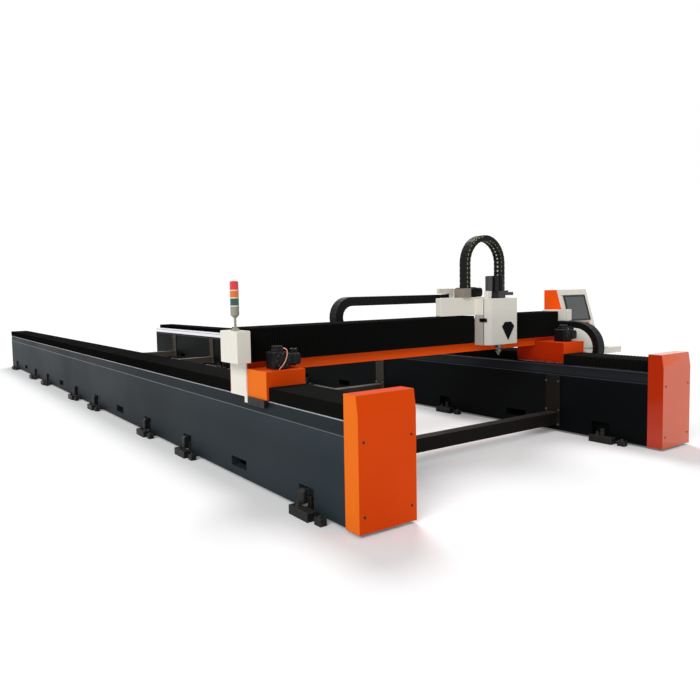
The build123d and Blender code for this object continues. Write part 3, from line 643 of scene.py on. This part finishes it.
bed_crest = [(17, 619), (17, 709), (311, 709), (311, 619), (295, 619), (295, 690), (33, 690), (33, 619)]
bed_valley = [(28, 619), (28, 699), (300, 699), (300, 619), (295, 619), (295, 690), (33, 690), (33, 619)]
for side_name, flip in (("left", False), ("right", True)):
    crest, valley = (mirrored(one, SPAN) if flip else one for one in (bed_crest, bed_valley))
    for run, y0, y1, pitch in (("near", 1.0, 833.0, 30.0), ("far", 1351.0, 11199.0, 34.0)):
        cover = add_piece(f"pleated_{side_name}_{run}", *pleats(crest, valley, y0, y1, pitch, 1), CLOTH, None,
                          "bellows_cloth")
        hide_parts(f"bed_bellows_{side_name}_{run}")
        if run == "near":
            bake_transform(cover)
        else:
            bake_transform(cover)
beam_crest = [(1100, 852), (1100, 1090), (1330, 1090), (1330, 1072), (1116, 1072), (1116, 852)]
beam_valley = [(1111, 852), (1111, 1080), (1330, 1080), (1330, 1072), (1116, 1072), (1116, 852)]
left_cover = add_piece("pleated_beam_left", *pleats(beam_crest, beam_valley, 14, 2251, 19.0, 0), CLOTH,
                       None, "bellows_cloth")
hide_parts("beam_bellows_left")
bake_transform(left_cover)
right_cover = add_piece("pleated_beam_right", *pleats(beam_crest, beam_valley, 2643, 3432, 19.0, 0), CLOTH,
                        None, "bellows_cloth")
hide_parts("beam_bellows_right")
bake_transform(right_cover)

# Drag chains: moulded nylon links that carry hoses and cables to the moving parts.
# Side plates overlap, and lids close the top and bottom of every link.
CHAIN = finish("moulded_chain_nylon", (0.0036, 0.0036, 0.0042), (0.0064, 0.0064, 0.0072), 0.34, 0.50,
               worn=(0.04, 0.04, 0.046), wear=0.6, dust=0.02, specular=0.11, grain=500.0, drift=12.0)


def links(path, total, pitch, thick, low, width, plane, open_share=0.10, blocks=None):
    """Links along a path. Each is a set of blocks that follow the path's own bend: the corner
    ds along and dn out of link i lies at c(s_i + ds) + dn n(s_i + ds), with c and n of the path."""
    count = max(2, int(round(total / pitch)))
    step = total / count
    half, h = step / 2, thick / 2
    shut = half * (1 - open_share)
    lid, rib, side_height = shut * 0.94, shut * 0.34, h * 0.84
    if blocks is None:  # each row: from and to along the path, outwards, and across the chain
        blocks = [
            [-shut, shut, -h, h, 0, 5], [-shut, shut, -h, h, width - 5, width],
            [-half, half, -side_height, side_height, 2.5, 8],
            [-half, half, -side_height, side_height, width - 8, width - 2.5],
            [-half, half, h - 9, h - 5.5, 4, width - 4], [-half, half, -h + 5.5, -h + 9, 4, width - 4],
            [-lid, lid, h - 5, h - 0.8, 5, width - 5], [-lid, lid, -h + 0.8, -h + 5, 5, width - 5],
            [-rib, rib, h - 2.5, h, width * 0.3, width * 0.7]]
    blocks = np.array(blocks, float)
    pick = np.array([[0, 2, 4], [1, 2, 4], [1, 3, 4], [0, 3, 4], [0, 2, 5], [1, 2, 5], [1, 3, 5], [0, 3, 5]])
    corners = blocks[:, pick]
    ds, dn, dw = corners[..., 0], corners[..., 1], corners[..., 2]
    (ca, cb), (na, nb) = path(step * (np.arange(count) + 0.5)[:, None, None] + ds[None])
    a = ca + na * dn[None]
    b = cb + nb * dn[None]
    w = np.broadcast_to(low + dw[None], a.shape)
    order = (a, w, b) if plane == "xz" else (w, a, b)
    points = np.stack(order, -1).reshape(-1, 3)
    quads = np.array([[3, 2, 1, 0], [4, 5, 6, 7], [0, 1, 5, 4], [1, 2, 6, 5], [2, 3, 7, 6], [3, 0, 4, 7]])
    first = points[:8]
    inside = np.dot(np.cross(first[1] - first[0], first[3] - first[0]), first[4] - first[0]) < 0
    quads = quads[:, ::-1] if inside else quads
    faces = (quads[None] + 8 * np.arange(count * len(blocks))[:, None, None]).reshape(-1, 4)
    return points, faces.tolist()


def run_along(a0, b0, a1, b1):
    """Straight path and its length, its normal a quarter turn to the left of its direction."""
    run = math.hypot(a1 - a0, b1 - b0)
    da, db = (a1 - a0) / run, (b1 - b0) / run
    return lambda s: ((a0 + da * s, b0 + db * s), (np.full_like(s, -db), np.full_like(s, da))), run


def half_turn(a, b, radius):
    """Half circle from its top and its length: c = (a, b) + R (cos, sin), n towards the middle."""
    def path(s):
        angle = math.pi / 2 + s / radius
        return ((a + radius * np.cos(angle), b + radius * np.sin(angle)), (-np.cos(angle), -np.sin(angle)))
    return path, math.pi * radius


ARCH_LEFT, ARCH_RIGHT, ARCH_RADIUS = 215.0, 240.0, 220.0
ARCH_X, ARCH_Z = 2380.0, 1545.0


def over_the_top(s):
    """Up the arch's left leg, a half circle over the top, and down its right leg."""
    arc = math.pi * ARCH_RADIUS
    angle = math.pi - np.clip(s - ARCH_LEFT, 0, arc) / ARCH_RADIUS
    a = ARCH_X + ARCH_RADIUS * np.cos(angle)
    b = (ARCH_Z + ARCH_RADIUS * np.sin(angle) - np.clip(ARCH_LEFT - s, 0, None)
         - np.clip(s - ARCH_LEFT - arc, 0, None))
    return (a, b), (np.cos(angle), np.sin(angle))


BEAM_CHAIN = {"thick": 74, "low": 1384, "width": 88, "plane": "xz"}
BED_CHAIN = {"thick": 60, "low": 3472, "width": 96, "plane": "yz"}
ARCH_CHAIN = {"thick": 50, "low": 1080, "width": 80, "plane": "xz"}
upper = add_piece("beam_chain_top_run", *links(*run_along(1130, 1243, 2238, 1243), 46, **BEAM_CHAIN),
                  CHAIN, None, "chain_plastic")
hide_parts("beam_chain_upper")
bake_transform(upper)
beam_bend = links(*half_turn(1130, 1115, 128), 29, **BEAM_CHAIN, open_share=0.0)
chain_turn = add_piece("beam_chain_turn_run", *beam_bend, CHAIN, "beam_chain_turn", "chain_plastic")
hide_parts("beam_chain_bend")
chain_low = add_piece("beam_chain_low_run", *links(*run_along(1132, 987, 1720, 987), 46, **BEAM_CHAIN),
                      CHAIN, None, "chain_plastic")
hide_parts("beam_chain_lower")
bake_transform(chain_low)
bed_upper = add_piece("bed_chain_top_run", *links(*run_along(945, 960, 1185, 960), 40, **BED_CHAIN),
                      CHAIN, None, "chain_plastic")
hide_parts("bed_chain_upper")
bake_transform(bed_upper)
bed_bend = links(*half_turn(945, 745, 215), 40, **BED_CHAIN, open_share=0.04)
bed_turn = add_piece("bed_chain_turn_run", *bed_bend, CHAIN, "bed_chain_turn", "chain_plastic")
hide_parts("bed_chain_bend")
bed_low = add_piece("bed_chain_low_run", *links(*run_along(947, 530, 5300, 530), 60, **BED_CHAIN),
                    CHAIN, "beds", "chain_plastic")
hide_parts("bed_chain_lower")
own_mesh(bed_low)
arch_length = ARCH_LEFT + ARCH_RIGHT + math.pi * ARCH_RADIUS
z_run = add_piece("z_chain_run", *links(over_the_top, arch_length, 44, **ARCH_CHAIN), CHAIN, None,
                  "chain_plastic")
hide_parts("z_chain")
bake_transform(z_run)

# Cables inside the vertical chain: yellow-green earth leads at both legs' corners and pale
# signal cables on the right one, seen through the windows between the links.
EARTH = finish("earth_lead_sleeve", (0.30, 0.33, 0.05), (0.13, 0.17, 0.03), 0.4, 0.5, drift=30.0)
PALE_CABLE = finish("pale_cable_sleeve", (0.62, 0.62, 0.60), (0.30, 0.31, 0.31), 0.4, 0.5, drift=30.0)
LEG_SHARE, RIGHT_START = 0.47, 0.53  # a leg with its part of the arch, and where the right one begins
for name, first, material, windows in (
        ("earth_lead", 0.0, EARTH, [[-12, 8, 9, 18, -0.8, 2.0]]),
        ("signal_cables", RIGHT_START, PALE_CABLE, [[-10, 6, -26.4, -24.0, 30.0, 44.0]]),
        ("spare_lead", RIGHT_START, EARTH, [[-9, 4, -21, -14, -0.8, 2.0]])):
    shown = links(lambda s: over_the_top(s + first * arch_length), LEG_SHARE * arch_length, 38,
                  **ARCH_CHAIN, blocks=windows)
    inner = add_piece(name, *shown, material, None)
    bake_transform(inner)

# Chain trough and chain holders: bent sheet, the long one on angle brackets from the right bed.
# The trough and the tray guide the lower run of each chain.
# Painted shade: the trough and the holders take the right bed's darker, shaded copy of the slate.
dress(SHADED_SLATE, "bed_chain_trough", "beam_chain_tray", "bed_chain_arm")

# Gantry: a welded beam on two end trucks, all powder-coated orange.
# The strip of beam below the pleated cover and the trucks' fronts are what shows.
# Painted light: the beam and the console's side panel take a brighter copy of the orange, which lifts the
# strip of beam in the pleated cover's shade.
LIT_ORANGE = orange_coat("orange_coat_painted_light", (0.93, 0.095, 0.005), (0.88, 0.082, 0.004),
                          (0.90, 0.26, 0.08))
dress(LIT_ORANGE, "cross_beam", edge=0.003)
dress(ORANGE, "truck_left", edge=0.003)
# Painted light and shade: the right truck's copy of the orange is brighter on its front and much darker on
# faces turned to the left.
SHADED_ORANGE = orange_coat("orange_truck_coat_light_and_shade", (0.90, 0.068, 0.003), (0.86, 0.062, 0.002),
                            (0.90, 0.26, 0.08))
painted_light_by_facing(SHADED_ORANGE, (-1, 0, 0), (0.37, 0.018, 0.0005))
dress(SHADED_ORANGE, "truck_right", edge=0.003)

# Truck drives: right-angle reducers with a bolted round flange and a servo motor lying
# along the beam, painted black, with two round connectors.
MOTOR = finish("black_motor_enamel", (0.0030, 0.0030, 0.0034), (0.0060, 0.0060, 0.0066), 0.26, 0.44,
               worn=(0.12, 0.12, 0.13), wear=0.5, dust=0.03, specular=0.14, grain=260.0, drift=8.0)
case = moved(turned([(812, 50), (816, 60), (922, 60), (928, 54)], 32, 7.0), (156, 950, 0))
crown = moved(turned([(926, 44), (944, 44), (946, 40), (963, 40), (968, 36)], 24), (152, 944, 0))
motor = moved(turned([(0, 40), (4, 47), (14, 47), (16, 42), (54, 42), (56, 45), (62, 45), (64, 41),
                      (96, 41), (106, 34)], 32, 5.0), (218, 950, 870), (1, 0, 0))
flange = moved(turned([(0, 56), (10, 56), (12, 52), (12.4, 24), (15, 20)], 32), (156, 888, 872), (0, -1, 0))
plug = turned([(0, 13), (16, 13), (18, 16), (30, 16), (32, 12)], 16)
drive = joined(case, crown, motor, flange, at_each(*plug, [(272, 950, 912), (302, 950, 910)]))
both_drives = [(0, 0, 0), (3134, 0, 0)]  # as drawn on the left truck, and that far on for the right one
units = add_piece("drive_units_dressed", *at_each(*drive, both_drives), MOTOR, "gantry", "motor_black")
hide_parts("drive_units")
flange_screw = moved(turned([(0, 4.4), (4, 4.4), (5, 3.4)], 6), (156, 875.8, 872), (0, -1, 0))
angle = 2 * np.pi * np.arange(8) / 8
screw_ring = at_each(*flange_screw, np.stack([45 * np.cos(angle), np.zeros(8), 45 * np.sin(angle)], 1))
add_piece("flange_screws", *at_each(*screw_ring, both_drives), BOLT, "gantry", "ground_steel")

# Motor lead: a short pink-sleeved lead from the drive's connector down into the truck.
# It is held at both ends and keeps the gentle arc of its own stiffness.
LEAD = finish("pink_lead_sleeve", (0.80, 0.33, 0.24), (0.66, 0.25, 0.18), 0.35, 0.5, drift=40.0)
route = [(180, 908, 953), (188, 890, 950), (192, 878, 938), (190, 872, 915), (180, 869, 885), (164, 868, 858),
         (144, 868, 835), (122, 870, 815.5)]
lead_curve = bpy.data.curves.new("drive_lead", "CURVE")
lead_curve.dimensions = "3D"
lead_curve.bevel_depth = 0.0034
lead_curve.bevel_resolution = 4
lead_curve.use_fill_caps = True
spline = lead_curve.splines.new("NURBS")
spline.points.add(len(route) - 1)
spline.points.foreach_set("co", np.concatenate([from_corner(route), np.ones((len(route), 1))], 1).ravel())
spline.order_u = 3
spline.use_endpoint_u = True
spline.resolution_u = 8
lead = placed("drive_lead", lead_curve)
lead_curve.materials.append(LEAD)
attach(lead, "gantry")
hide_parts("motor_lead")

# Junction box and signal tower: a folded cream box on a bent bracket, and a lamp tower
# on its lid with red, amber and green lenses over a grey base.
CREAM = finish("cream_enamel", (0.76, 0.73, 0.65), (0.71, 0.68, 0.60), 0.36, 0.50,
               worn=(0.88, 0.86, 0.80), wear=0.4, dust=0.08, specular=0.25, grain=600.0)
dress(CREAM, "junction_box", "box_bracket", edge=0.004)
TOWER = finish("tower_grey", (0.29, 0.28, 0.22), (0.24, 0.23, 0.18), 0.35, 0.5, drift=20.0)
dress(TOWER, "tower_base")


def lens(name, colour, deeper):
    """Moulded lens: clear-coated colour with a faint glow of its own."""
    made = finish(name, colour, deeper, 0.18, 0.3, coat=0.4, grain=60.0, drift=18.0)
    shader = made.node_tree.nodes["Principled BSDF"]
    shader.inputs["Emission Strength"].default_value = 0.18
    shader.inputs["Emission Color"].default_value = (*colour, 1)
    return made


RED_LENS = lens("red_lens", (0.58, 0.014, 0.018), (0.50, 0.010, 0.014))
dress(RED_LENS, "lamp_red")
dress(lens("amber_lens", (0.62, 0.115, 0.003), (0.58, 0.100, 0.002)), "lamp_amber")
dress(lens("green_lens", (0.0008, 0.065, 0.034), (0.0006, 0.045, 0.024)), "lamp_green")
lens_ring = turned([(-3.5, 30.2), (-2.5, 31.4), (2.5, 31.4), (3.5, 30.2)], 28)
rings = at_each(*lens_ring, [(-56, 1140, z) for z in (1241, 1295.5, 1347)])
add_piece("lens_rings", *rings, CREAM, "gantry", "tower_grey")
cap = moved(turned([(1398, 30.4), (1403, 30.4), (1409, 24), (1412, 12)], 28), (-56, 1140, 0))
add_piece("tower_cap", *cap, RED_LENS, "gantry", "lamp_red")


def block(x, y, z):
    """Plain block between two values each of x, y and z."""
    return swept([(x[0], y[0]), (x[1], y[0]), (x[1], y[1]), (x[0], y[1])], z, 2)


lid = block((-101, -3), (1033, 1277), (1072, 1073.5))
add_piece("junction_box_lid", *lid, CREAM, "gantry", "cream_paint")
skirt = block((-13, -10), (1092, 1322), (621, 644))
add_piece("bracket_skirt", *skirt, CREAM, "gantry", "cream_paint")

# Operator console: a sloping steel cabinet with an orange side, a glass screen in a dark
# frame, rows of keys, a mushroom stop button and a keyboard shelf.
dress(CREAM, "console_cabinet", "keyboard_shelf", "console_arm", edge=0.006)
dress(LIT_ORANGE, "console_side_panel", edge=0.004)
SCREEN = finish("screen_glass", (0.036, 0.040, 0.037), (0.016, 0.019, 0.019), 0.10, 0.2, coat=0.25,
                grain=20.0, relief=0.0001, drift=4.0)
dress(SCREEN, "console_screen")
FRAME = finish("dark_bezel", (0.010, 0.012, 0.014), (0.016, 0.018, 0.02), 0.35, 0.5, specular=0.2,
               drift=10.0)
KEY = finish("pale_key_plastic", (0.62, 0.62, 0.60), (0.50, 0.51, 0.50), 0.35, 0.5, drift=40.0)
LEAN = 0.29  # how far the face leans back for each millimetre of its height
FACE_FOOT = 650.0  # height of the face's foot line
face_y = 1236.0 - (1298.0 - FACE_FOOT) * LEAN + 12.0


def on_console(points):
    """Points (x, u up the leaning face from its foot line, w out of it), as millimetres."""
    x, u, w = np.asarray(points, float).T
    sine, cosine = math.sin(math.atan(LEAN)), math.cos(math.atan(LEAN))
    return np.stack([x, face_y + u * sine - w * cosine, FACE_FOOT + u * cosine + w * sine], 1)


def frame_ring(x0, x1, u0, u1, width, w0, w1):
    """Flat frame round an opening: outer and inner rectangles joined at two depths."""
    outer = [(x0, u0), (x1, u0), (x1, u1), (x0, u1)]
    inner = [(x0 + width, u0 + width), (x1 - width, u0 + width), (x1 - width, u1 - width),
             (x0 + width, u1 - width)]
    points = [(x, u, w) for w in (w0, w1) for ring_of in (outer, inner) for x, u in ring_of]
    faces = []
    for i in range(4):
        k = (i + 1) % 4
        faces += [[i, k, 4 + k, 4 + i][::-1], [8 + i, 8 + k, 12 + k, 12 + i], [i, k, 8 + k, 8 + i],
                  [4 + i, 12 + i, 12 + k, 4 + k]]
    return on_console(points), faces


arm_end = block((3600, 3664), (1112, 1154), (992, 1104))
add_piece("console_arm_end", *arm_end, CREAM, "gantry", "cream_paint")
bezel = frame_ring(3690, 4044, 345, 610, 14, 0.3, 12)
add_piece("screen_bezel", *bezel, FRAME, "gantry", "screen_glass")
key_places = [(3680 + 34 * i, 318 - 30 * j, 0.4) for j in range(2) for i in range(5)]
key_places += [(3900 + 30 * i, 262, 0.4) for i in range(4)]
keys, key_faces = at_each(*turned([(0, 11), (5, 11), (7, 9)], 16, 6.0), key_places)
add_piece("console_keys", on_console(keys), [face[::-1] for face in key_faces], KEY, "gantry", "cream_paint")
STOP = finish("stop_button_red", (0.62, 0.012, 0.010), (0.52, 0.009, 0.008), 0.25, 0.35, coat=0.3,
              drift=30.0)
START = finish("start_button_green", (0.02, 0.36, 0.10), (0.015, 0.28, 0.08), 0.25, 0.35, coat=0.3,
               drift=30.0)
dress(STOP, "e_stop")
dress(START, "start_button")
KEY_PITCH = 19.5
key_cap = turned([(0, 7.4), (3.4, 7.0), (4.0, 6.2)], 12, 7.0)
cap_places = [(3670 + KEY_PITCH * i, 932 + KEY_PITCH * j, 714.0) for j in range(5) for i in range(16)]
add_piece("keyboard_caps", *at_each(*key_cap, cap_places), KEY, "gantry", "cream_paint")
base = block((3652, 3985), (916, 1030), (714, 716.5))
add_piece("keyboard_base", *base, FRAME, "gantry", "cream_paint")

# Head carriage: cream-enamelled sheet housings over the saddle and the vertical slide,
# with a latch on the door seam and a dark sight window in the front.
SHADED_HEAD_CREAM = finish("head_enamel_painted_shade", (0.74, 0.72, 0.65), (0.69, 0.67, 0.60), 0.36, 0.50,
                    worn=(0.88, 0.86, 0.80), wear=0.4, dust=0.05, specular=0.15, grain=600.0)
# Painted shade: the head housing's copy of the cream is darker on faces turned to the left and towards its
# lower part.
painted_light_by_facing(SHADED_HEAD_CREAM, (-1, 0, 0), (0.44, 0.41, 0.36))
painted_light_ramp(SHADED_HEAD_CREAM, "Z", [(0.82, 0.80), (1.05, 0.90), (1.16, 1.0), (1.26, 1.0)])
dress(CREAM, "saddle_cover", edge=0.005)
dress(SHADED_HEAD_CREAM, "head_housing", edge=0.004)
SLATE_CASE = finish("slate_plastic_case", (0.068, 0.070, 0.075), (0.054, 0.056, 0.060), 0.35, 0.5,
                    specular=0.2, drift=14.0)
WINDOW = finish("sight_window_black", (0.002, 0.003, 0.002), (0.003, 0.005, 0.004), 0.3, 0.4,
                specular=0.02, drift=12.0)
dress(WINDOW, "sight_window")
seams = joined(block((2249.6, 2253), (993, 996), (838, 1236)),
               block((2249, 2640), (1092.6, 1096), (1100, 1102.5)))
add_piece("housing_seams", *seams, FRAME, "head", "black_oxide")
flange_sheet = block((2250.6, 2252.4), (997, 1094.5), (1099, 1237))
add_piece("saddle_side_flange", *flange_sheet, CREAM, "head", "cream_paint")
latch = swept([(2252, 1040), (2252, 992), (2268, 976), (2262, 970), (2245, 987), (2245, 1038)],
              [1038, 1068], 2)
add_piece("door_latch", *latch, WINDOW, "head", "motor_black")
gland_box, gland_faces = turned([(0, 23), (2, 24), (62, 24), (64, 22)], 24, 8.0)
add_piece("gland_box", gland_box * (1.0, 0.87, 1.0) + (2333, 1020, 1238), gland_faces, CREAM, "head",
          "cream_paint")
amplifier, amplifier_faces = turned([(0, 22), (3, 24), (127, 24), (130, 22)], 24, 8.0)
add_piece("amplifier_block", amplifier * (0.95, 0.95, 1.0) + (2344, 1019, 1302), amplifier_faces,
          SLATE_CASE, "head", "motor_black")
clamp = joined(block((2105, 2284), (1376, 1404), (1288, 1332)),
               block((2241, 2290), (1377, 1481), (1204, 1331)))
clamp_piece = add_piece("chain_clamp", *clamp, CREAM, "head", "cream_paint")
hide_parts("beam_chain_bracket")
BEIGE = finish("beige_terminal_box", (0.24, 0.20, 0.15), (0.19, 0.16, 0.12), 0.4, 0.55, drift=14.0,
               wear=0.3, worn=(0.6, 0.58, 0.52))
terminal_box = block((2094, 2188), (1078, 1186), (1250, 1329.5))
terminal = add_piece("terminal_box_dressed", *terminal_box, BEIGE, "head", "beige_box")
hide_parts("terminal_box")
servo = moved(turned([(0, 36), (6, 44), (16, 44), (18, 40), (160, 40), (162, 44), (174, 44), (176, 48),
                      (196, 48), (198, 42), (270, 42), (282, 34)], 32, 4.0), (2247, 1285, 1294), (1, 0, 0))
servo_plugs = at_each(*plug, [(2290, 1285, 1330), (2330, 1285, 1330)])
drive_on_head = add_piece("x_servo_dressed", *joined(servo, servo_plugs), MOTOR, "head", "motor_black")
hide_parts("x_servo")

# Laser head: an anodised optics block on the vertical slide, with its collimator, the
# fibre's connector and a polished nozzle cone.
ANODISED = finish("black_anodised", (0.030, 0.031, 0.034), (0.018, 0.019, 0.021), 0.3, 0.45, metal=0.4,
                  drift=12.0)
dress(ANODISED, "laser_head", edge=0.003)
CHROME = finish("polished_nozzle", (0.20, 0.19, 0.16), (0.12, 0.115, 0.10), 0.18, 0.32, metal=0.9,
                drift=25.0)
dress(CHROME, "nozzle")
dress(MOTOR, "fibre_connector")
collars = at_each(*turned([(0, 26), (2, 28), (20, 28), (22, 26)], 22),
                  [(2494, 1020, 1318), (2494, 1020, 1380)])
add_piece("fibre_collars", *collars, MOTOR, "z_slide", "motor_black")
hoses = at_each(*turned([(0, 7), (120, 7), (122, 5)], 12),
                [(2462, 1044, 1298), (2526, 1052, 1298), (2548, 1040, 1290)])
add_piece("gas_hoses", *hoses, MOTOR, "z_slide", "motor_black")
